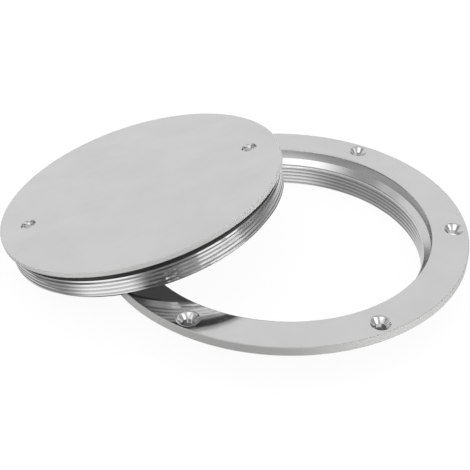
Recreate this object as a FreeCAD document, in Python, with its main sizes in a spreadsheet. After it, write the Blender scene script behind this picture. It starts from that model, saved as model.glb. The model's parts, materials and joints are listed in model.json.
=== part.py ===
import FreeCAD, Part
import os
import Sketcher

# A deck inspection plate with its lid taken out. The ring is let into a deck and
# screwed down through its flange, and the lid screws into the ring on a rubber seal.
# Here the lid leans on the ring, with its rim on the ground.
# Lengths are in millimetres and angles in degrees. The origin is on the ring's axis, in
# the face of the deck, and +Z points up out of the deck.

driving_sizes = {
    # thread of lid and ring, over the lid's crests. It is fine, so its walls are plain
    # here, at the height of the crests
    "thread_diameter": 123.8,
    "thread_depth": 0.95,
    "thread_clearance": 0.25,
    "bore_lead": 0.6,
    # seal and its groove, outwards from the groove's floor
    "seal_inset": 2.6,
    "seal_section": 3,
    "seal_corner": 0.6,
    "seal_setback": 1.5,
    "seal_play": 0.1,
    "seal_squeeze": 0.1,
    # lid: lip, plate and skirt
    "lip_thickness": 2.1,
    "lid_edge": 0.25,
    "lid_depth": 14.5,
    "lid_lead": 1.7,
    "plate_thickness": 6,
    "skirt_wall": 2.35,
    # lid: blind holes for the two-pin key
    "key_count": 2,
    "key_hole": 6.6,
    "key_depth": 3,
    "key_inset": 7.6,
    "key_point_angle": 118,
    "key_bearing": 13.9,
    # ring: recess, collar and flange, outwards from the lid. The closed lid's face lies
    # below the flange's top
    "lid_sink": 2.3,
    "lid_gap": 0.5,
    "collar_wall": 1.7,
    "collar_drop": 13.4,
    "collar_lead": 2,
    "flange_thickness": 4,
    "flange_edge": 0.3,
    # ring: countersunk screw holes
    "screw_count": 6,
    "screw_hole": 4.5,
    "screw_sink": 8.6,
    "screw_sink_angle": 90,
    "screw_bearing": 58.4,
    "screw_inset": 8.2,
    "screw_margin": 5.8,
    # how the lid leans
    "lean_angle": 15.27,
    "lean_bearing": 169.06,
}

derived_sizes = {
    # the thread, as radii of its crests and roots
    "lid_crest": "thread_diameter / 2",
    "lid_root": "lid_crest - thread_depth",
    "ring_root": "lid_crest + thread_clearance",
    "ring_crest": "ring_root - thread_depth",
    # the seal's groove, set back from the edge of the lip
    "groove_floor": "lid_crest - seal_inset",
    "groove_bottom": "lip_thickness + seal_section + seal_play",
    "seal_radius": "groove_floor + seal_section",
    "lid_radius": "seal_radius + seal_setback",
    "skirt_radius": "lid_root - skirt_wall",
    "key_circle": "skirt_radius - key_inset",
    # the recess takes the lid's lip. Under it the seal's bevelled corner is pressed on the
    # seat, a cone of 45 degrees that runs down to the thread's crests
    "recess_radius": "lid_radius + lid_gap",
    "seal_foot": "lid_sink + lip_thickness + seal_section - seal_squeeze",
    "recess_depth": "seal_foot - (recess_radius - seal_radius + seal_corner)",
    "seat_height": "flange_thickness - recess_depth",
    "seat_foot": "seat_height - (recess_radius - ring_crest)",
    "collar_radius": "recess_radius + collar_wall",
    "screw_circle": "collar_radius + screw_inset",
    "flange_radius": "screw_circle + screw_margin",
    # the lid's foot stands on the ground on its outer edge, and its inner edge lies on
    # the flange's top edge, once on each side of the slope
    "foot_outer": "lid_crest - lid_lead",
    "flange_rim": "flange_radius - flange_edge",
    "stand_height": "flange_thickness + collar_drop",
    "chord_offset": "foot_outer - stand_height / sin(lean_angle)",
    "lean_reach": "sqrt(chord_offset ^ 2 + flange_rim ^ 2 - skirt_radius ^ 2)"
                  " - chord_offset * cos(lean_angle)",
    "foot_height": "foot_outer * sin(lean_angle) - collar_drop",
    # centre of the lid's top face
    "lid_out": "lean_reach + lid_depth * sin(lean_angle)",
    "lid_up": "foot_height + lid_depth * cos(lean_angle)",
}


def size_sheet(doc):
    sheet = doc.addObject("Spreadsheet::Sheet", "Sizes")
    rows = list(driving_sizes.items()) + [
        (alias, "=" + formula) for alias, formula in derived_sizes.items()
    ]
    for row, (alias, content) in enumerate(rows, start=1):
        sheet.set(f"A{row}", alias)
        sheet.set(f"B{row}", str(content))
        sheet.setAlias(f"B{row}", alias)
    doc.recompute()
    return sheet


def new_body(doc, label):
    body = doc.addObject("PartDesign::Body", label)
    body.Label = label
    doc.recompute()
    return body


def new_sketch(body, name, role):
    """A sketch on the body's own origin plane that has this role."""
    plane = next(f for f in body.Origin.OriginFeatures if f.Role == role)
    sketch = body.newObject("Sketcher::SketchObject", name)
    sketch.AttachmentSupport = (plane, [""])
    sketch.MapMode = "FlatFace"
    return sketch


def place_point(sketch, line, name, across, up):
    """Ties the start of a line to the origin, by formulas for its two distances."""
    for kind, axis, letter, formula in (
        ("DistanceX", -2, "across", across),
        ("DistanceY", -1, "up", up),
    ):
        distance = sketch.evalExpression(formula)
        if distance == 0:
            sketch.addConstraint(Sketcher.Constraint("PointOnObject", line, 1, axis))
            continue
        ends = (-1, 1, line, 1) if distance > 0 else (line, 1, -1, 1)
        constraint = Sketcher.Constraint(kind, *ends, abs(distance))
        index = sketch.addConstraint(constraint)
        sketch.renameConstraint(index, f"{name}_{letter}")
        sign = "" if distance > 0 else "-"
        sketch.setExpression(f"Constraints.{name}_{letter}", f"{sign}({formula})")


def outline(body, name, corners):
    """A closed half section in the XZ plane. A corner has a name, a radius and a height."""
    sketch = new_sketch(body, name, "XZ_Plane")
    body.Document.recompute()
    points = [
        FreeCAD.Vector(sketch.evalExpression(across), sketch.evalExpression(up), 0)
        for _, across, up in corners
    ]
    count = len(points)
    for i in range(count):
        sketch.addGeometry(Part.LineSegment(points[i], points[(i + 1) % count]), False)
    for i in range(count):
        sketch.addConstraint(Sketcher.Constraint("Coincident", i, 2, (i + 1) % count, 1))
    for i, (corner, across, up) in enumerate(corners):
        place_point(sketch, i, corner, across, up)
    return sketch


def turn(body, name, sketch):
    """A piece turned about Z from its half section."""
    turned = body.newObject("PartDesign::Revolution", name)
    turned.Profile = (sketch, [""])
    turned.ReferenceAxis = (sketch, ["V_Axis"])
    turned.Angle = 360
    body.Document.recompute()
    return turned


def round_edges(feature, circles):
    """Names of the edges that are circles about Z with these radii and heights."""
    names = []
    for number, edge in enumerate(feature.Shape.Edges, start=1):
        if not isinstance(edge.Curve, Part.Circle):
            continue
        for radius, height in circles:
            same_radius = abs(edge.Curve.Radius - radius) < 1e-4
            if same_radius and abs(edge.Curve.Center.z - height) < 1e-4:
                names.append(f"Edge{number}")
    return names


def dress(body, name, size, circles):
    """A chamfer of one size on the circles given by formulas."""
    base = body.Tip
    found = [
        (base.evalExpression(radius), base.evalExpression(height))
        for radius, height in circles
    ]
    chamfer = body.newObject("PartDesign::Chamfer", name)
    chamfer.Base = (base, round_edges(base, found))
    chamfer.setExpression("Size", f"Sizes.{size}")
    body.Document.recompute()
    return chamfer


def hole_sketch(body, name, height, radius, bearing):
    """One circle at a bearing, on a plane across Z. Its centre marks the hole."""
    sketch = new_sketch(body, name, "XY_Plane")
    sketch.setExpression("AttachmentOffset.Base.z", height)
    body.Document.recompute()
    east = f"{radius} * cos({bearing})"
    north = f"{radius} * sin({bearing})"
    centre = FreeCAD.Vector(sketch.evalExpression(east), sketch.evalExpression(north), 0)
    sketch.addGeometry(Part.Circle(centre, FreeCAD.Vector(0, 0, 1), 1), False)
    spoke = sketch.addGeometry(Part.LineSegment(FreeCAD.Vector(0, 0, 0), centre), True)
    sketch.addConstraint(Sketcher.Constraint("Radius", 0, 1))
    sketch.addConstraint(Sketcher.Constraint("Coincident", spoke, 1, -1, 1))
    sketch.addConstraint(Sketcher.Constraint("Coincident", spoke, 2, 0, 3))
    reach = sketch.addConstraint(
        Sketcher.Constraint("Distance", spoke, 1, spoke, 2, centre.Length)
    )
    sketch.setExpression(f"Constraints[{reach}]", radius)
    angle = sketch.addConstraint(Sketcher.Constraint("Angle", -1, 1, spoke, 1, 1.0))
    sketch.setExpression(f"Constraints[{angle}]", bearing)
    return sketch


def repeat_around(body, name, feature, count):
    """The feature again at even steps round Z."""
    pattern = body.newObject("PartDesign::PolarPattern", name)
    pattern.Originals = [feature]
    pattern.Axis = (feature.Profile[0], ["N_Axis"])
    pattern.Angle = 360
    pattern.setExpression("Occurrences", count)
    body.Tip = pattern
    body.Document.recompute()
    return pattern


def make_ring(doc):
    body = new_body(doc, "deck_ring")
    section = outline(body, "ring_section", [
        ("recess_mouth", "Sizes.recess_radius", "Sizes.flange_thickness"),
        ("flange_top", "Sizes.flange_radius", "Sizes.flange_thickness"),
        ("flange_under", "Sizes.flange_radius", "0"),
        ("collar_top", "Sizes.collar_radius", "0"),
        ("collar_foot", "Sizes.collar_radius", "-Sizes.collar_drop"),
        ("bore_foot", "Sizes.ring_crest", "-Sizes.collar_drop"),
        ("seat_foot", "Sizes.ring_crest", "Sizes.seat_foot"),
        ("seat_mouth", "Sizes.recess_radius", "Sizes.seat_height"),
    ])
    turn(body, "ring_turned", section)
    dress(body, "flange_edges", "flange_edge", [
        ("Sizes.flange_radius", "Sizes.flange_thickness"),
        ("Sizes.flange_radius", "0"),
    ])
    dress(body, "collar_lead_in", "collar_lead", [
        ("Sizes.collar_radius", "-Sizes.collar_drop"),
    ])
    dress(body, "bore_lead_in", "bore_lead", [
        ("Sizes.ring_crest", "-Sizes.collar_drop"),
    ])

    mark = hole_sketch(
        body, "screw_hole_mark", "Sizes.flange_thickness",
        "Sizes.screw_circle", "Sizes.screw_bearing",
    )
    doc.recompute()
    hole = body.newObject("PartDesign::Hole", "screw_hole")
    hole.Profile = (mark, [""])
    doc.recompute()
    hole.Threaded = False
    hole.DepthType = "ThroughAll"
    hole.HoleCutType = "Countersink"
    hole.HoleCutCustomValues = True
    hole.setExpression("Diameter", "Sizes.screw_hole")
    hole.setExpression("HoleCutDiameter", "Sizes.screw_sink")
    hole.setExpression("HoleCutCountersinkAngle", "Sizes.screw_sink_angle")
    doc.recompute()
    repeat_around(body, "screw_holes", hole, "Sizes.screw_count")
    return body


def make_lid(doc):
    body = new_body(doc, "lid")
    section = outline(body, "lid_section", [
        ("face_centre", "0", "0"),
        ("face_edge", "Sizes.lid_radius", "0"),
        ("lip_edge", "Sizes.lid_radius", "-Sizes.lip_thickness"),
        ("groove_top", "Sizes.groove_floor", "-Sizes.lip_thickness"),
        ("groove_foot", "Sizes.groove_floor", "-Sizes.groove_bottom"),
        ("thread_top", "Sizes.lid_crest", "-Sizes.groove_bottom"),
        ("skirt_foot", "Sizes.lid_crest", "-Sizes.lid_depth"),
        ("skirt_inside", "Sizes.skirt_radius", "-Sizes.lid_depth"),
        ("plate_under", "Sizes.skirt_radius", "-Sizes.plate_thickness"),
        ("under_centre", "0", "-Sizes.plate_thickness"),
    ])
    turn(body, "lid_turned", section)
    dress(body, "lip_edges", "lid_edge", [
        ("Sizes.lid_radius", "0"),
        ("Sizes.lid_radius", "-Sizes.lip_thickness"),
    ])
    dress(body, "foot_lead_in", "lid_lead", [
        ("Sizes.lid_crest", "-Sizes.lid_depth"),
    ])

    mark = hole_sketch(body, "key_hole_mark", "0", "Sizes.key_circle", "Sizes.key_bearing")
    doc.recompute()
    hole = body.newObject("PartDesign::Hole", "key_hole")
    hole.Profile = (mark, [""])
    doc.recompute()
    hole.Threaded = False
    hole.DepthType = "Dimension"
    hole.DrillPoint = "Angled"
    hole.setExpression("Diameter", "Sizes.key_hole")
    hole.setExpression("Depth", "Sizes.key_depth")
    hole.setExpression("DrillPointAngle", "Sizes.key_point_angle")
    doc.recompute()
    repeat_around(body, "key_holes", hole, "Sizes.key_count")
    return body


def make_seal(doc):
    body = new_body(doc, "seal")
    section = outline(body, "seal_section", [
        ("inside_over", "Sizes.groove_floor", "0"),
        ("outside_over", "Sizes.seal_radius", "0"),
        ("outside_under", "Sizes.seal_radius", "-Sizes.seal_section"),
        ("inside_under", "Sizes.groove_floor", "-Sizes.seal_section"),
    ])
    turn(body, "seal_turned", section)
    dress(body, "seal_corners", "seal_corner", [
        ("Sizes.seal_radius", "0"),
        ("Sizes.seal_radius", "-Sizes.seal_section"),
    ])
    return body


def lean(piece, drop):
    """Tips a piece of the lid over its foot, and sinks it below the lid's top face."""
    out = f"(Sizes.lid_out - {drop} * sin(Sizes.lean_angle))"
    piece.setExpression("Placement", (
        f"placement(vector({out} * cos(Sizes.lean_bearing); {out} * sin(Sizes.lean_bearing);"
        f" Sizes.lid_up - {drop} * cos(Sizes.lean_angle));"
        " rotation(vector(-sin(Sizes.lean_bearing); cos(Sizes.lean_bearing); 0);"
        " Sizes.lean_angle))"
    ))


def failed_objects(doc):
    return [o.Name for o in doc.Objects if {"Invalid", "Error"} & set(o.State)]


doc = FreeCAD.newDocument("deck_inspection_plate")
size_sheet(doc)
ring = make_ring(doc)
lid = make_lid(doc)
seal = make_seal(doc)
lean(lid, "0")
lean(seal, "Sizes.lip_thickness")
doc.recompute()

failed = failed_objects(doc)
if failed:
    raise RuntimeError(f"These objects failed: {failed}")
for piece in (ring, lid, seal):
    if piece.Shape.isNull() or not piece.Shape.isValid():
        raise RuntimeError(f"{piece.Label} has no valid shape")

os.makedirs("parts", exist_ok=True)
for piece in (ring, lid, seal):
    piece.Shape.exportStep(f"parts/{piece.Label}.step")
    print(piece.Label, round(piece.Shape.Volume), "cubic mm")
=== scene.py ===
import bpy
import bmesh
import json
from math import ceil, cos, pi, radians, sin, tan
from mathutils import Matrix, Vector


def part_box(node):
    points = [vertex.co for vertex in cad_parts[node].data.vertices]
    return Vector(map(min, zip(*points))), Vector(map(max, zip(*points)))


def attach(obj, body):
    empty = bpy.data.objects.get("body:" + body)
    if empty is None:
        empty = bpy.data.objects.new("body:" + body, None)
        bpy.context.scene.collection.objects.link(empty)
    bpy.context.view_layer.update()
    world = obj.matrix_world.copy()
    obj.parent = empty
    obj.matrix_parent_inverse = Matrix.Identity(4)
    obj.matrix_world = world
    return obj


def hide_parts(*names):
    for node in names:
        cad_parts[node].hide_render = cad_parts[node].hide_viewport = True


# A deck inspection plate of polished steel. The ring is let into a deck and screwed down,
# and the lid that screws into it has been taken out and leans on it, with its rubber seal
# in the groove. Sizes are in millimetres, and mm turns them into metres.

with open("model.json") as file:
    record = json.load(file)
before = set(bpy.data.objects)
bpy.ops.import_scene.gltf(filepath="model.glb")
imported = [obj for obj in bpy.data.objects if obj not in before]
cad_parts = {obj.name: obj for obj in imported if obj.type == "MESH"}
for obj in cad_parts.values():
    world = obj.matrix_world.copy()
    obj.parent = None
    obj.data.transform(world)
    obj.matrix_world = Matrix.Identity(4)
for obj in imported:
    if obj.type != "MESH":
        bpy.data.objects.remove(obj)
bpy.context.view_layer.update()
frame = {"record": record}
mm = 0.001
columns = 288  # steps round every turned surface, so that their edges meet point by point
holeSteps = 64  # steps round every hole

mounts = {mount["name"]: mount for mount in frame["record"]["mounts"]}
screwHoles = mounts["screw_holes"]
keyHoles = mounts["key_holes"]
ringLow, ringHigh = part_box("deck_ring")


# Meshes: outlines that are turned about Z

# points of an outline, each corner of which has a radius, a height and a rounding
def outlinePoints(corners, arcSteps=6):
    points = []
    for i, (across, up, rounding) in enumerate(corners):
        here = Vector((across, up))
        if rounding == 0 or i in (0, len(corners) - 1):
            points.append(here)
            continue
        before = (Vector(corners[i - 1][:2]) - here).normalized()
        after = (Vector(corners[i + 1][:2]) - here).normalized()
        half = before.angle(after) / 2
        centre = here + (before + after).normalized() * (rounding / sin(half))
        start = here + before * (rounding / tan(half)) - centre
        end = here + after * (rounding / tan(half)) - centre
        for step in range(arcSteps + 1):
            share = step / arcSteps
            points.append(centre + start.slerp(end, share) * rounding)
    return points


# turns an outline about Z. A point on the axis becomes one vertex
def turnOutline(bm, points, steps=columns, closed=False):
    rows = []
    for point in points:
        if point.x < 1e-6:
            rows.append([bm.verts.new((0, 0, point.y))] * steps)
            continue
        angles = [2 * pi * step / steps for step in range(steps)]
        rows.append([
            bm.verts.new((point.x * cos(angle), point.x * sin(angle), point.y))
            for angle in angles
        ])
    if closed:
        rows.append(rows[0])
    for first, second in zip(rows, rows[1:]):
        for i in range(steps):
            j = (i + 1) % steps
            corners = dict.fromkeys([first[i], first[j], second[j], second[i]])
            bm.faces.new(list(corners))


def newPiece(name, bm):
    mesh = bpy.data.meshes.new(name)
    bm.to_mesh(mesh)
    bm.free()
    piece = bpy.data.objects.new(name, mesh)
    bpy.context.scene.collection.objects.link(piece)
    return piece


# Geometry Nodes: the threaded wall, and holes repeated round an axis

socketKinds = {float: "NodeSocketFloat", int: "NodeSocketInt", "object": "NodeSocketObject",
               "material": "NodeSocketMaterial"}


def newTree(name, inputs):
    tree = bpy.data.node_groups.new(name, "GeometryNodeTree")
    face = tree.interface
    face.new_socket("Geometry", in_out="INPUT", socket_type="NodeSocketGeometry")
    face.new_socket("Geometry", in_out="OUTPUT", socket_type="NodeSocketGeometry")
    for label, kind in inputs.items():
        face.new_socket(label, in_out="INPUT", socket_type=socketKinds[kind])
    given = tree.nodes.new("NodeGroupInput").outputs
    return tree, given


def addNode(tree, kind, inputs=None, **settings):
    node = tree.nodes.new(kind)
    for key, value in settings.items():
        setattr(node, key, value)
    for key, value in (inputs or {}).items():
        if isinstance(value, bpy.types.NodeSocket):
            tree.links.new(value, node.inputs[key])
        else:
            node.inputs[key].default_value = value
    return node


def calc(tree, operation, *terms):
    node = addNode(tree, "ShaderNodeMath", dict(enumerate(terms)), operation=operation)
    return node.outputs[0]


# every tree ends the same way, in real meshes with their material
def endTree(tree, geometry, material):
    real = addNode(tree, "GeometryNodeRealizeInstances", {"Geometry": geometry})
    dressed = addNode(tree, "GeometryNodeSetMaterial",
                      {"Geometry": real.outputs[0], "Material": material})
    addNode(tree, "NodeGroupOutput", {"Geometry": dressed.outputs[0]})


def runTree(piece, tree, values):
    modifier = piece.modifiers.new(tree.name, "NODES")
    modifier.node_group = tree
    for item in tree.interface.items_tree:
        if item.in_out == "INPUT" and item.name in values:
            modifier[item.identifier] = values[item.name]
    graph = bpy.context.evaluated_depsgraph_get()
    mesh = bpy.data.meshes.new_from_object(piece.evaluated_get(graph))
    piece.modifiers.remove(modifier)
    return mesh


# A threaded wall about Z. It starts as a flat grid, whose X is the angle and whose Y runs
# up the wall. Each row of it follows the helix, so the ridges keep their edges, and the
# rows that would leave the wall are drawn together at its top and foot. Side is 1 for a
# thread inside a bore and -1 for one on a shaft.
def threadTree():
    tree, given = newTree("threadedWall", {
        "Crest Radius": float, "Side": float, "Pitch": float, "Depth": float,
        "Crest Flat": float, "Flank": float, "Start": float,
        "Top": float, "Foot": float, "Top Bevel": float, "Foot Bevel": float,
        "Top Close": float, "Foot Close": float, "First Row": float,
        "Row Step": float, "Rows": int, "Columns": int, "Material": "material",
    })
    turn = 2 * pi
    tall = calc(tree, "MULTIPLY", given["Row Step"], calc(tree, "SUBTRACT", given["Rows"], 1))
    grid = addNode(tree, "GeometryNodeMeshGrid", {
        "Size X": turn, "Size Y": tall,
        "Vertices X": calc(tree, "ADD", given["Columns"], 1), "Vertices Y": given["Rows"],
    })
    place = addNode(tree, "ShaderNodeSeparateXYZ",
                    {"Vector": addNode(tree, "GeometryNodeInputPosition").outputs[0]})
    angle = calc(tree, "ADD", place.outputs["X"], pi)
    along = calc(tree, "ADD", place.outputs["Y"], calc(tree, "MULTIPLY", tall, 0.5))
    climb = calc(tree, "MULTIPLY", given["Pitch"], calc(tree, "DIVIDE", angle, turn))
    free = calc(tree, "ADD", calc(tree, "ADD", given["First Row"], along), climb)
    up = calc(tree, "MAXIMUM", given["Foot"], calc(tree, "MINIMUM", given["Top"], free))

    # distance from the middle of the nearest ridge, and how deep that is in the thread
    turns = calc(tree, "DIVIDE", calc(tree, "SUBTRACT", calc(tree, "SUBTRACT", up, climb),
                                      given["Start"]), given["Pitch"])
    share = calc(tree, "ABSOLUTE", calc(tree, "SUBTRACT", calc(tree, "FRACT", turns), 0.5))
    crest = calc(tree, "MULTIPLY", given["Crest Flat"], 0.5)
    inward = addNode(tree, "ShaderNodeMapRange", {
        "Value": calc(tree, "MULTIPLY", share, given["Pitch"]), "From Min": crest,
        "From Max": calc(tree, "ADD", crest, given["Flank"])}).outputs[0]

    # the bevels at both ends cut into the thread
    cut = calc(tree, "MULTIPLY", given["Depth"], inward)
    topCut = calc(tree, "SUBTRACT", given["Top Bevel"], calc(tree, "SUBTRACT", given["Top"], up))
    footCut = calc(tree, "SUBTRACT", given["Foot Bevel"], calc(tree, "SUBTRACT", up, given["Foot"]))
    cut = calc(tree, "MAXIMUM", cut, calc(tree, "MAXIMUM", topCut, footCut))
    radius = calc(tree, "ADD", given["Crest Radius"], calc(tree, "MULTIPLY", given["Side"], cut))

    # the first and the last row close the wall towards its neighbours
    half = calc(tree, "MULTIPLY", tall, 0.4999)
    isTop = calc(tree, "GREATER_THAN", place.outputs["Y"], half)
    isFoot = calc(tree, "LESS_THAN", place.outputs["Y"], calc(tree, "MULTIPLY", half, -1.0))
    for chosen, close in ((isTop, given["Top Close"]), (isFoot, given["Foot Close"])):
        mix = addNode(tree, "ShaderNodeMix", {"Factor": chosen, 2: radius, 3: close})
        radius = mix.outputs[0]

    placed = addNode(tree, "ShaderNodeCombineXYZ", {
        "X": calc(tree, "MULTIPLY", radius, calc(tree, "COSINE", angle)),
        "Y": calc(tree, "MULTIPLY", radius, calc(tree, "SINE", angle)),
        "Z": up,
    })
    bent = addNode(tree, "GeometryNodeSetPosition",
                   {"Geometry": grid.outputs["Mesh"], "Position": placed.outputs[0]})
    merged = addNode(tree, "GeometryNodeMergeByDistance",
                     {"Geometry": bent.outputs[0], "Distance": 0.0005})
    endTree(tree, merged.outputs[0], given["Material"])
    return tree


# cuts one hole shape at even steps round Z
def holesTree():
    tree, given = newTree("holesAround", {
        "Count": int, "Circle Radius": float, "Bearing": float,
        "Cutter": "object", "Material": "material",
    })
    number = addNode(tree, "GeometryNodeInputIndex").outputs[0]
    share = calc(tree, "DIVIDE", calc(tree, "MULTIPLY", number, 2 * pi), given["Count"])
    angle = calc(tree, "ADD", share, calc(tree, "RADIANS", given["Bearing"]))
    place = addNode(tree, "ShaderNodeCombineXYZ", {
        "X": calc(tree, "MULTIPLY", given["Circle Radius"], calc(tree, "COSINE", angle)),
        "Y": calc(tree, "MULTIPLY", given["Circle Radius"], calc(tree, "SINE", angle)),
    })
    points = addNode(tree, "GeometryNodePoints",
                     {"Count": given["Count"], "Position": place.outputs[0]})
    shape = addNode(tree, "GeometryNodeObjectInfo", {"Object": given["Cutter"]})
    copies = addNode(tree, "GeometryNodeInstanceOnPoints",
                     {"Points": points.outputs[0], "Instance": shape.outputs["Geometry"]})
    tools = addNode(tree, "GeometryNodeRealizeInstances", {"Geometry": copies.outputs[0]})
    cut = addNode(tree, "GeometryNodeMeshBoolean",
                  {"Mesh 1": given["Geometry"], "Mesh 2": tools.outputs[0]},
                  operation="DIFFERENCE", solver="EXACT")
    endTree(tree, cut.outputs["Mesh"], given["Material"])
    return tree


threadedWall = threadTree()
holesAround = holesTree()

# the fine thread that lid and ring share, with broad flat ridges
thread = {
    "pitch": 1.82,
    "depth": 0.95,
    "crestFlat": 0.84,
    "flank": 0.47,
    "rowsPerTurn": 20,
}


# the wall's rows, with a whole turn to spare so that every column has them
def wallMesh(name, top, foot, start, more, material):
    rowStep = thread["pitch"] / thread["rowsPerTurn"]
    rows = ceil((top - foot) / rowStep) + thread["rowsPerTurn"] + 4
    values = {
        "Pitch": thread["pitch"], "Depth": thread["depth"], "Flank": thread["flank"],
        "Crest Flat": thread["crestFlat"], "Start": start, "Top": top, "Foot": foot,
        "Row Step": rowStep, "First Row": foot - thread["pitch"] - rowStep,
    }
    values = {key: float(value) for key, value in (values | more).items()}
    holder = newPiece(name, bmesh.new())
    mesh = runTree(holder, threadedWall,
                   values | {"Rows": rows, "Columns": columns, "Material": material})
    bpy.data.objects.remove(holder)
    return mesh


# The outline of a hole's cutter, from over the face down to the axis. The mouth's rounding
# ends a little under the face, so that the cut crosses the face cleanly
def holeShape(mouth, face, edge, below, under=0.01, over=2):
    rim = outlinePoints([
        (mouth + 2 * edge, face - under, 0), (mouth, face - under, edge), *below,
    ])[1:]
    return [Vector((0, face + over)), Vector((rim[0].x, face + over))] + rim


def cutHoles(piece, cutterOutline, count, circle, bearing, material):
    bm = bmesh.new()
    turnOutline(bm, cutterOutline, holeSteps)
    bmesh.ops.recalc_face_normals(bm, faces=bm.faces)
    cutter = newPiece("cutter", bm)
    mesh = runTree(piece, holesAround, {
        "Count": count, "Circle Radius": float(circle), "Bearing": float(bearing),
        "Cutter": cutter, "Material": material,
    })
    bpy.data.objects.remove(cutter)
    piece.data = mesh


# joins turned outlines and the threaded wall between them into one closed skin
def closeShell(name, outlines, wall):
    bm = bmesh.new()
    for points in outlines:
        turnOutline(bm, points)
    bm.from_mesh(wall)
    bmesh.ops.remove_doubles(bm, verts=bm.verts, dist=0.002)
    bmesh.ops.recalc_face_normals(bm, faces=bm.faces)
    return newPiece(name, bm)


# square to the piece's axis or along it
def isStraight(face):
    lean = abs(face.normal.z)
    return lean < 0.001 or lean > 0.99999


# Scales to metres and puts the piece in place. Hard edges stay hard, and straight faces keep
# an even shading up to the roundings beside them
def finishPiece(piece, material, place=Matrix(), sharp=22):
    bm = bmesh.new()
    bm.from_mesh(piece.data)
    bmesh.ops.remove_doubles(bm, verts=bm.verts, dist=0.001)
    bmesh.ops.recalc_face_normals(bm, faces=bm.faces)
    for edge in bm.edges:
        alike = len({isStraight(face) for face in edge.link_faces}) == 1
        edge.smooth = alike and edge.calc_face_angle(0) < radians(sharp)
    bmesh.ops.transform(bm, matrix=place @ Matrix.Scale(mm, 4), verts=bm.verts)
    bmesh.ops.recalc_face_normals(bm, faces=bm.faces)
    for face in bm.faces:
        face.smooth = True
        face.material_index = 0
    openEdges = sum(1 for edge in bm.edges if len(edge.link_faces) != 2)
    bm.to_mesh(piece.data)
    bm.free()
    piece.data.materials.clear()
    piece.data.materials.append(material)
    print(piece.name, len(piece.data.polygons), "faces,", openEdges, "open edges")


# Materials

def newMaterial(name):
    material = bpy.data.materials.new(name)
    material.use_nodes = True
    tree = material.node_tree
    return material, tree, tree.nodes["Principled BSDF"]


# cloudy polish with fine hairlines. It gives a colour, a roughness and a height
def polishGroup():
    group = bpy.data.node_groups.new("polishedFinish", "ShaderNodeTree")
    face = group.interface
    for label, kind in (("Vector", "NodeSocketVector"), ("Bright", "NodeSocketColor"),
                        ("Dull", "NodeSocketColor"), ("Cloud Scale", "NodeSocketFloat"),
                        ("Hairline Scale", "NodeSocketFloat"), ("Smooth", "NodeSocketFloat"),
                        ("Rough", "NodeSocketFloat")):
        face.new_socket(label, in_out="INPUT", socket_type=kind)
    for label, kind in (("Color", "NodeSocketColor"), ("Roughness", "NodeSocketFloat"),
                        ("Height", "NodeSocketFloat")):
        face.new_socket(label, in_out="OUTPUT", socket_type=kind)
    given = group.nodes.new("NodeGroupInput").outputs
    clouds = addNode(group, "ShaderNodeTexNoise", {
        "Vector": given["Vector"], "Scale": given["Cloud Scale"], "Detail": 4.0,
        "Roughness": 0.55, "Distortion": 0.4})
    cloudy = addNode(group, "ShaderNodeMapRange", {
        "Value": clouds.outputs["Fac"], "From Min": 0.38, "From Max": 0.68})
    stretched = addNode(group, "ShaderNodeVectorMath",
                        {0: given["Vector"], 1: (1.0, 14.0, 1.0)}, operation="MULTIPLY")
    hairs = addNode(group, "ShaderNodeTexNoise", {
        "Vector": stretched.outputs[0], "Scale": given["Hairline Scale"], "Detail": 2.0})
    colour = addNode(group, "ShaderNodeMix", {
        "Factor": cloudy.outputs[0], 6: given["Bright"], 7: given["Dull"]}, data_type="RGBA")
    rough = addNode(group, "ShaderNodeMapRange", {
        "Value": hairs.outputs["Fac"], "From Min": 0.3, "From Max": 0.7,
        "To Min": given["Smooth"], "To Max": given["Rough"]})
    addNode(group, "NodeGroupOutput", {
        "Color": colour.outputs[2], "Roughness": rough.outputs[0],
        "Height": hairs.outputs["Fac"]})
    return group


polishedFinish = polishGroup()

# colours, roughnesses and textures of the steel, and by how much a finish passes its wall
steel = {
    "bright": (0.63, 0.63, 0.63, 1),
    "dull": (0.6, 0.6, 0.595, 1),
    "ringFrosted": (0.7, 0.7, 0.69, 1),
    "lidFrosted": (0.78, 0.78, 0.77, 1),
    "smooth": 0.07,
    "rough": 0.12,
    "machined": 0.2,
    "satin": 0.9,
    "cloudScale": 45.0,
    "hairlineScale": 900.0,
    "bump": 0.02,
    "bumpDepth": 0.00002,
    "margin": 0.1,
}


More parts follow.
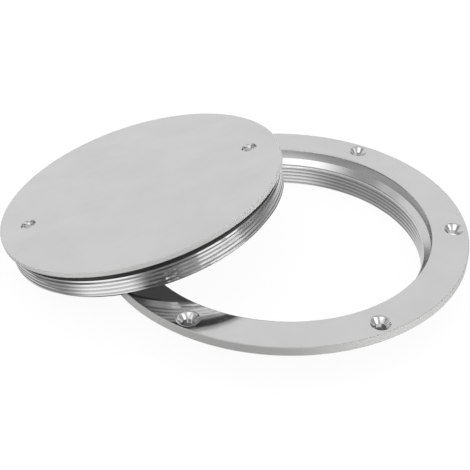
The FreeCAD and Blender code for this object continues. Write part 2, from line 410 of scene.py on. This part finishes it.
# Beyond the outer radius round the piece's axis the steel is frosted and satin. Within the
# inner one, and over the foot, it is as machined. Radii and foot are in millimetres
def steelMaterial(name, middle, axis, frosted, outer, inner=0, foot=0):
    material, tree, shader = newMaterial(name)
    place = addNode(tree, "ShaderNodeTexCoord")
    finish = addNode(tree, "ShaderNodeGroup", {
        "Vector": place.outputs["Object"], "Bright": steel["bright"], "Dull": steel["dull"],
        "Cloud Scale": steel["cloudScale"], "Hairline Scale": steel["hairlineScale"],
        "Smooth": steel["smooth"], "Rough": steel["rough"]}, node_tree=polishedFinish)
    bump = addNode(tree, "ShaderNodeBump", {
        "Strength": steel["bump"], "Distance": steel["bumpDepth"],
        "Height": finish.outputs["Height"]})
    away = addNode(tree, "ShaderNodeVectorMath", {0: place.outputs["Object"], 1: middle},
                   operation="SUBTRACT")
    aside = addNode(tree, "ShaderNodeVectorMath", {0: away.outputs[0], 1: axis},
                    operation="CROSS_PRODUCT")
    far = addNode(tree, "ShaderNodeVectorMath", {0: aside.outputs[0]}, operation="LENGTH")
    high = addNode(tree, "ShaderNodeVectorMath", {0: away.outputs[0], 1: axis},
                   operation="DOT_PRODUCT")
    outside = calc(tree, "GREATER_THAN", far.outputs["Value"], outer * mm)
    inside = calc(tree, "MULTIPLY", calc(tree, "LESS_THAN", far.outputs["Value"], inner * mm),
                  calc(tree, "GREATER_THAN", high.outputs["Value"], foot * mm))
    rough = finish.outputs["Roughness"]
    for where, value in ((outside, steel["satin"]), (inside, steel["machined"])):
        rough = addNode(tree, "ShaderNodeMix", {"Factor": where, 2: rough, 3: value}).outputs[0]
    colour = addNode(tree, "ShaderNodeMix", {
        "Factor": outside, 6: finish.outputs["Color"], 7: frosted}, data_type="RGBA")
    shader.inputs["Metallic"].default_value = 1.0
    tree.links.new(colour.outputs[2], shader.inputs["Base Color"])
    tree.links.new(rough, shader.inputs["Roughness"])
    tree.links.new(bump.outputs[0], shader.inputs["Normal"])
    return material


rubber = {
    "dark": (0.012, 0.012, 0.012, 1),
    "pale": (0.03, 0.03, 0.029, 1),
    "smooth": 0.38,
    "rough": 0.55,
    "specular": 0.2,
    "grainScale": 700.0,
    "bump": 0.3,
    "bumpDepth": 0.00003,
}


def rubberMaterial():
    material, tree, shader = newMaterial("sealRubber")
    place = addNode(tree, "ShaderNodeTexCoord")
    grain = addNode(tree, "ShaderNodeTexNoise", {
        "Vector": place.outputs["Object"], "Scale": rubber["grainScale"], "Detail": 3.0})
    colour = addNode(tree, "ShaderNodeMix", {
        "Factor": grain.outputs["Fac"], 6: rubber["dark"], 7: rubber["pale"]}, data_type="RGBA")
    rough = addNode(tree, "ShaderNodeMapRange", {
        "Value": grain.outputs["Fac"], "To Min": rubber["smooth"], "To Max": rubber["rough"]})
    bump = addNode(tree, "ShaderNodeBump", {
        "Strength": rubber["bump"], "Distance": rubber["bumpDepth"],
        "Height": grain.outputs["Fac"]})
    tree.links.new(colour.outputs[2], shader.inputs["Base Color"])
    tree.links.new(rough.outputs[0], shader.inputs["Roughness"])
    tree.links.new(bump.outputs[0], shader.inputs["Normal"])
    shader.inputs["Specular IOR Level"].default_value = rubber["specular"]
    return material


# The ring

# in the deck's frame, with the deck's top face at height 0
ring = {
    "top": ringHigh.z / mm,
    "foot": ringLow.z / mm,
    "flangeRadius": ringHigh.x / mm,
    "flangeEdge": 0.3,
    "recessRadius": 64.3,
    "recessEdge": 0.6,
    "seatHeight": -0.7,
    "boreRadius": 61.2,
    "boreLead": 0.6,
    "threadStart": 0.1,  # height of a groove's middle at bearing 0, less whole turns
    "footInside": 63,
    "collarRadius": 66,
    "collarLead": 2,
    "collarEdge": 0.15,
    "screwRadius": screwHoles["dims"]["hole_r_mm"],
    "screwCircle": screwHoles["dims"]["pcd_mm"] / 2,
    "screwCount": screwHoles["dims"]["count"],
    "screwBearing": 58.4,
    "sinkRadius": 4.3,
    "sinkEdge": 1.2,
    "satinRim": 0.42,
}


def makeRing():
    size = ring
    seatWide = size["recessRadius"] - size["boreRadius"]  # the seat slopes at 45 degrees
    ringSteel = steelMaterial(
        "ringSteel", (0, 0, 0), (0, 0, 1), steel["ringFrosted"],
        size["flangeRadius"] - size["satinRim"], size["recessRadius"] + steel["margin"],
        size["seatHeight"] - seatWide)
    wall = wallMesh("ringThread", size["seatHeight"], size["foot"], size["threadStart"], {
        "Crest Radius": size["boreRadius"], "Side": 1,
        "Top Bevel": seatWide, "Foot Bevel": size["boreLead"],
        "Top Close": size["recessRadius"], "Foot Close": size["footInside"],
    }, ringSteel)
    shell = outlinePoints([
        (size["recessRadius"], size["seatHeight"], 0),
        (size["recessRadius"], size["top"], size["recessEdge"]),
        (size["flangeRadius"], size["top"], size["flangeEdge"]),
        (size["flangeRadius"], 0, size["flangeEdge"]),
        (size["collarRadius"], 0, 0),
        (size["collarRadius"], size["foot"] + size["collarLead"], size["collarEdge"]),
        (size["collarRadius"] - size["collarLead"], size["foot"], size["collarEdge"]),
        (size["footInside"], size["foot"], 0),
    ])
    piece = closeShell("deckRing", [shell], wall)
    sink, hole, top = size["sinkRadius"], size["screwRadius"], size["top"]
    under = -2  # the cutter goes right through the flange
    cutter = holeShape(sink, top, size["sinkEdge"], [
        (hole, top - (sink - hole), 0), (hole, under, 0), (0, under, 0),
    ])
    cutHoles(piece, cutter, size["screwCount"], size["screwCircle"], size["screwBearing"],
             ringSteel)
    finishPiece(piece, ringSteel)
    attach(piece, "root")
    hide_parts("deck_ring")
    return piece


# The lid and its seal

# the lid, with its top face at height 0 and its axis upright
lid = {
    "radius": 63.8,
    "lipEdge": 0.25,
    "lipFoot": 0.12,
    "lip": 2.1,
    "grooveFloor": 59.3,
    "grooveFoot": 5.2,
    "land": 0.88,
    "landEdge": 0.1,
    "reliefWidth": 0.5,
    "reliefDepth": 0.8,
    "crestRadius": 61.9,
    "threadStart": 1.28,  # as the ring's
    "depth": 14.5,
    "lead": 1.7,
    "footInside": 59.6,
    "skirtRadius": 58.6,
    "skirtEdge": 0.3,
    "plate": 6,
    "plateCorner": 1,
    "keyRadius": keyHoles["dims"]["hole_r_mm"],
    "keyCircle": keyHoles["dims"]["pcd_mm"] / 2,
    "keyCount": keyHoles["dims"]["count"],
    "keyBearing": 13.9,
    "keyDepth": 1.3,
    "keyPoint": 90,
    "keyEdge": 0.3,
    "satinRim": 0.42,
}

lidLean = Vector((0, 0, 1)).rotation_difference(Vector(keyHoles["axis"]))
lidPlace = Matrix.Translation(Vector(keyHoles["pos_m"])) @ lidLean.to_matrix().to_4x4()


def makeLid():
    size = lid
    landFoot = -size["grooveFoot"] - size["land"]
    threadTop = landFoot - size["reliefWidth"]
    reliefRadius = size["crestRadius"] - size["reliefDepth"]
    lidSteel = steelMaterial("lidSteel", keyHoles["pos_m"], keyHoles["axis"],
                             steel["lidFrosted"], size["radius"] - size["satinRim"])
    wall = wallMesh("lidThread", threadTop, -size["depth"], size["threadStart"], {
        "Crest Radius": size["crestRadius"], "Side": -1,
        "Top Bevel": 0, "Foot Bevel": size["lead"],
        "Top Close": reliefRadius, "Foot Close": size["footInside"],
    }, lidSteel)
    over = outlinePoints([
        (0, 0, 0),
        (size["radius"], 0, size["lipEdge"]),
        (size["radius"], -size["lip"], size["lipFoot"]),
        (size["grooveFloor"], -size["lip"], 0),
        (size["grooveFloor"], -size["grooveFoot"], 0),
        (size["crestRadius"], -size["grooveFoot"], size["landEdge"]),
        (size["crestRadius"], landFoot, size["landEdge"]),
        (reliefRadius, landFoot, 0),
        (reliefRadius, threadTop, 0),
    ])
    under = outlinePoints([
        (size["footInside"], -size["depth"], 0),
        (size["skirtRadius"], -size["depth"], size["skirtEdge"]),
        (size["skirtRadius"], -size["plate"], size["plateCorner"]),
        (0, -size["plate"], 0),
    ])
    piece = closeShell("lidPlate", [over, under], wall)
    hole, deep = size["keyRadius"], size["keyDepth"]
    point = hole / tan(radians(size["keyPoint"] / 2))
    cutter = holeShape(hole, 0, size["keyEdge"], [(hole, -deep, 0), (0, -deep - point, 0)])
    cutHoles(piece, cutter, size["keyCount"], size["keyCircle"], size["keyBearing"], lidSteel)
    finishPiece(piece, lidSteel, lidPlace)
    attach(piece, "root")
    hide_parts("lid")
    return piece


# the seal, in the lid's groove and in the lid's own frame
seal = {
    "inside": 59.3,
    "outside": 62.3,
    "top": -2.1,
    "thick": 3,
    "corner": 0.9,
    "innerCorner": 0.2,
    "play": 0.02,
}


def makeSeal():
    size = seal
    top, foot = size["top"] - size["play"], size["top"] - size["thick"]
    inside = size["inside"] + size["play"]
    bm = bmesh.new()
    points = outlinePoints([
        (inside, (top + foot) / 2, 0),
        (inside, top, size["innerCorner"]),
        (size["outside"], top, size["corner"]),
        (size["outside"], foot, size["corner"]),
        (inside, foot, size["innerCorner"]),
        (inside, (top + foot) / 2, 0),
    ])
    turnOutline(bm, points[:-1], closed=True)
    piece = newPiece("sealBand", bm)
    finishPiece(piece, rubberMaterial(), lidPlace, sharp=50)
    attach(piece, "root")
    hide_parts("seal")
    return piece


makeRing()
print("ring made")
makeLid()
print("lid made")
makeSeal()
print("seal made")


# Floor, world, lamps and camera

# the direction to a bearing from +Y towards +X, at a rise over the horizon, in degrees
def wayTo(bearing, rise):
    a, e = radians(bearing), radians(rise)
    return Vector((sin(a) * cos(e), cos(a) * cos(e), sin(e)))


# where the camera stands: it looks down from the front, at a point in the flange's top plane
view = {
    "aim": (-0.0207267, -0.0073622, 0.004),
    "distance": 0.451978,
    "azimuth": 0.24996,
    "elevation": 35.3954,
    "roll": 0.4315,
    "lens": 80.674,
}


def makeCamera():
    camera = bpy.data.objects.new("camera", bpy.data.cameras.new("camera"))
    bpy.context.scene.collection.objects.link(camera)
    turn, rise = radians(view["azimuth"]), radians(view["elevation"])
    back = wayTo(view["azimuth"] + 180, view["elevation"])
    camera.location = Vector(view["aim"]) + back * view["distance"]
    look = Matrix.Rotation(-turn, 4, "Z") @ Matrix.Rotation(pi / 2 - rise, 4, "X")
    look = look @ Matrix.Rotation(radians(view["roll"]), 4, "Z")
    camera.rotation_euler = look.to_euler()
    camera.data.lens = view["lens"]
    camera.data.sensor_width = 36
    camera.data.clip_start = 0.01
    camera.data.clip_end = 50
    bpy.context.scene.camera = camera


# a panel of another level, with soft edges, round a middle bearing and a middle rise
def panelGroup():
    group = bpy.data.node_groups.new("softPanel", "ShaderNodeTree")
    for label in ("Bearing", "Rise", "Middle", "Half Width", "Side Edge",
                  "Mid Rise", "Half Rise", "Rise Edge", "Around", "Level"):
        group.interface.new_socket(label, in_out="INPUT", socket_type="NodeSocketFloat")
    group.interface.new_socket("Level", in_out="OUTPUT", socket_type="NodeSocketFloat")
    given = group.nodes.new("NodeGroupInput").outputs
    aside = calc(group, "WRAP", calc(group, "SUBTRACT", given["Bearing"], given["Middle"]), pi, -pi)
    apart = calc(group, "SUBTRACT", given["Rise"], given["Mid Rise"])
    mask = 1.0
    for far, half, edge in ((aside, "Half Width", "Side Edge"), (apart, "Half Rise", "Rise Edge")):
        beyond = calc(group, "SUBTRACT", calc(group, "ABSOLUTE", far), given[half])
        shown = addNode(group, "ShaderNodeMapRange", {
            "Value": calc(group, "DIVIDE", beyond, given[edge]), "From Min": -0.5, "From Max": 0.5,
            "To Min": 1.0, "To Max": 0.0}, interpolation_type="SMOOTHSTEP").outputs[0]
        mask = calc(group, "MULTIPLY", mask, shown)
    mix = addNode(group, "ShaderNodeMix", {"Factor": mask, 2: given["Around"], 3: given["Level"]})
    addNode(group, "NodeGroupOutput", {"Level": mix.outputs[0]})
    return group


softPanel = panelGroup()


# The panel goes from one bearing to another, and from one rise to another. On the floor, the
# distance stands in for the rise. Around is the level outside the panel
def addPanel(tree, bearing, rise, sides, sideEdge, rises, riseEdge, around, level):
    return addNode(tree, "ShaderNodeGroup", {
        "Bearing": bearing, "Rise": rise, "Around": around, "Level": level,
        "Middle": (sides[0] + sides[1]) / 2, "Half Width": (sides[1] - sides[0]) / 2,
        "Mid Rise": (rises[0] + rises[1]) / 2, "Half Rise": (rises[1] - rises[0]) / 2,
        "Side Edge": sideEdge, "Rise Edge": riseEdge}, node_tree=softPanel).outputs["Level"]


# bearing from +Y towards +X of a point or a direction in the shader
def bearingOf(tree, vector, middle=(0, 0, 0)):
    away = addNode(tree, "ShaderNodeVectorMath", {0: vector, 1: middle}, operation="SUBTRACT")
    parts = addNode(tree, "ShaderNodeSeparateXYZ", {"Vector": away.outputs[0]}).outputs
    return calc(tree, "ARCTAN2", parts["X"], parts["Y"])


# The floor shows white to the camera and darker in reflections, with painted shade and light.
# The lid's round painted shadow there has a reach and a soft edge in millimetres, and a level
floorLook = {
    "size": 6,
    "colour": 0.9,
    "keepShadow": 0.08,
    "shown": 1.025,
    "mirrored": 0.85,
    "middle": (-43, -26),
    "lidMiddle": (-62, 12),
    "lidShade": (65, 14, 0.12),
}

# painted shade and painted light on the floor, which only the metal mirrors: bearings from a
# point under the lid and their edge in degrees, distances from the ring's middle and their edge
# in millimetres, and the level
floorSectors = {
    "cameraShade": (140, 215, 3, 88, 400, 4, 0.2),
    "leftShade": (235, 285, 10, 96, 300, 4, 0.45),
    "leftLight": (195, 243, 20, 96, 220, 4, 1.45),
    "rightShade": (60, 101.5, 3, 96, 300, 4, 0.35),
    "cardLight": (101.5, 140, 1.5, 96, 400, 4, 2.0),
    "openingShade": (36, 66.5, 3, 10, 48, 4, 0.35),
    # painted light on the floor inside the ring's opening
    "openingLight": (66.5, 140, 3, 10, 56, 4, 2.9),
    "boreLight": (0, 36, 8, 44, 62, 6, 1.2),
    "boreShade": (38, 76, 8, 48, 62, 6, 0.45),
    "underShade": (95, 240, 10, 64, 84, 3, 0.15),
}


def makeFloor():
    bm = bmesh.new()
    bmesh.ops.create_grid(bm, x_segments=1, y_segments=1, size=floorLook["size"])
    bmesh.ops.translate(bm, vec=(0, 0, ringLow.z), verts=bm.verts)
    floor = newPiece("floor", bm)
    material, tree, shader = newMaterial("floorWhite")
    shader.inputs["Base Color"].default_value = (*[floorLook["colour"]] * 3, 1)
    shader.inputs["Roughness"].default_value = 0.9
    shader.inputs["Specular IOR Level"].default_value = 0.0
    path = addNode(tree, "ShaderNodeLightPath")
    glow = addNode(tree, "ShaderNodeEmission", {"Color": (1, 1, 1, 1)})
    place = addNode(tree, "ShaderNodeTexCoord").outputs["Object"]
    x, y = floorLook["middle"]
    bearing = bearingOf(tree, place, (x * mm, y * mm, 0))
    away = addNode(tree, "ShaderNodeVectorMath", {0: place}, operation="LENGTH").outputs["Value"]
    level = floorLook["mirrored"]
    # paints the sectors' shade and light onto the floor, for reflections only
    for start, end, edge, near, far, soft, shade in floorSectors.values():
        level = addPanel(tree, bearing, away, (radians(start), radians(end)), radians(edge),
                         (near * mm, far * mm), soft * mm, level, shade)
    # painted shadow of the lid on the floor, seen only in reflections
    x, y = floorLook["lidMiddle"]
    reach, soft, shade = floorLook["lidShade"]
    away = addNode(tree, "ShaderNodeVectorMath", {0: place, 1: (x * mm, y * mm, ringLow.z)},
                   operation="DISTANCE").outputs["Value"]
    level = addPanel(tree, 0.0, away, (-1, 1), 0.1, (-reach * mm, reach * mm), soft * mm,
                     level, shade)
    strength = calc(tree, "ADD",
                    calc(tree, "MULTIPLY", path.outputs["Is Camera Ray"], floorLook["shown"]),
                    calc(tree, "MULTIPLY", path.outputs["Is Glossy Ray"], level))
    strength = calc(tree, "ADD", strength, path.outputs["Is Transmission Ray"])
    tree.links.new(strength, glow.inputs["Strength"])
    seen = calc(tree, "MINIMUM", 1.0, calc(tree, "ADD", path.outputs["Is Camera Ray"], calc(
        tree, "ADD", path.outputs["Is Glossy Ray"], path.outputs["Is Transmission Ray"])))
    mix = addNode(tree, "ShaderNodeMixShader", {
        "Fac": calc(tree, "MULTIPLY", seen, 1 - floorLook["keepShadow"]),
        1: shader.outputs[0], 2: glow.outputs[0]})
    output = tree.nodes["Material Output"]
    tree.links.new(mix.outputs[0], output.inputs["Surface"])
    floor.data.materials.append(material)


# levels of the studio, and the sines of the rises between which wall turns into ceiling
worldLook = {
    "ambient": 0.85,
    "wall": 0.95,
    "ceiling": 0.7,
    "wallEnds": 0.74,
    "ceilingStarts": 0.87,
}

# what the metal mirrors of the studio: bearings, rises and their edges in degrees, and the
# level
studioPanels = {
    "frontBox": (170, 230, 30, 52, 70, 4, 1.9),
    "seatShade": (242, 276, 12, 40, 54, 6, 0.36),
    "rightShade": (60, 101.4, 4, -8, 44, 8, 0.5),
    "rightBox": (74, 100, 10, 48, 60, 6, 1.6),
    "highShade": (27, 61, 10, 54, 70, 8, 0.3),
    "leftShade": (236, 288, 8, -8, 36, 10, 0.38),
    "leftGlint": (226, 246, 6, 36, 46, 5, 1.5),
    "cameraShade": (136.4, 205, 2, -8, 34, 6, 0.75),
    "cameraSpot": (152, 197, 10, -8, 50, 5, 0.2),
    "leftCard": (187, 234, 20, -8, 32, 8, 1.75),
    "sideCard": (101.4, 136.4, 1.5, -8, 48, 6, 2.0),
}


def makeWorld():
    world = bpy.data.worlds.new("studio")
    world.use_nodes = True
    tree = world.node_tree
    path = addNode(tree, "ShaderNodeLightPath")
    mirrored = calc(tree, "MAXIMUM", path.outputs["Is Glossy Ray"],
                    path.outputs["Is Transmission Ray"])
    way = addNode(tree, "ShaderNodeTexCoord").outputs["Generated"]
    rise = addNode(tree, "ShaderNodeSeparateXYZ", {"Vector": way}).outputs["Z"]
    seen = addNode(tree, "ShaderNodeMapRange", {
        "Value": rise, "From Min": worldLook["wallEnds"], "From Max": worldLook["ceilingStarts"],
        "To Min": worldLook["wall"], "To Max": worldLook["ceiling"]},
        interpolation_type="SMOOTHSTEP").outputs[0]
    bearing = bearingOf(tree, way)
    angle = calc(tree, "ARCSINE", rise)
    for start, end, edge, low, high, soft, shade in studioPanels.values():
        seen = addPanel(tree, bearing, angle, (radians(start), radians(end)), radians(edge),
                        (radians(low), radians(high)), radians(soft), seen, shade)
    level = addNode(tree, "ShaderNodeMix", {
        "Factor": mirrored, 2: worldLook["ambient"], 3: seen}).outputs[0]
    level = addNode(tree, "ShaderNodeMix", {
        "Factor": path.outputs["Is Camera Ray"], 2: level, 3: 1.0}).outputs[0]
    tree.links.new(level, tree.nodes["Background"].inputs["Strength"])
    tree.nodes["Background"].inputs["Color"].default_value = (1, 1, 1, 1)
    bpy.context.scene.world = world


# Soft boxes for the floor and the rubber. The metal mirrors the panels instead. Each has a
# bearing, a rise, a distance, a width, a height and a level
lamps = {
    "frontBox": (-163, 57, 1.6, 0.75, 0.45, 1.65),
    "topBox": (20, 80, 1.4, 0.4, 0.4, 1.5),
}


def makeLamps():
    for name, (bearing, rise, distance, wide, tall, level) in lamps.items():
        lamp = bpy.data.lights.new(name, "AREA")
        lamp.shape = "RECTANGLE"
        lamp.size, lamp.size_y = wide, tall
        lamp.energy = pi * wide * tall * level
        holder = bpy.data.objects.new(name, lamp)
        bpy.context.scene.collection.objects.link(holder)
        out = wayTo(bearing, rise)
        holder.location = out * distance
        holder.rotation_euler = out.to_track_quat("Z", "Y").to_euler()
        holder.visible_camera = False
        holder.visible_glossy = False


makeCamera()
makeFloor()
makeWorld()
makeLamps()
bpy.context.scene.view_settings.view_transform = "Standard"
print("stage made")
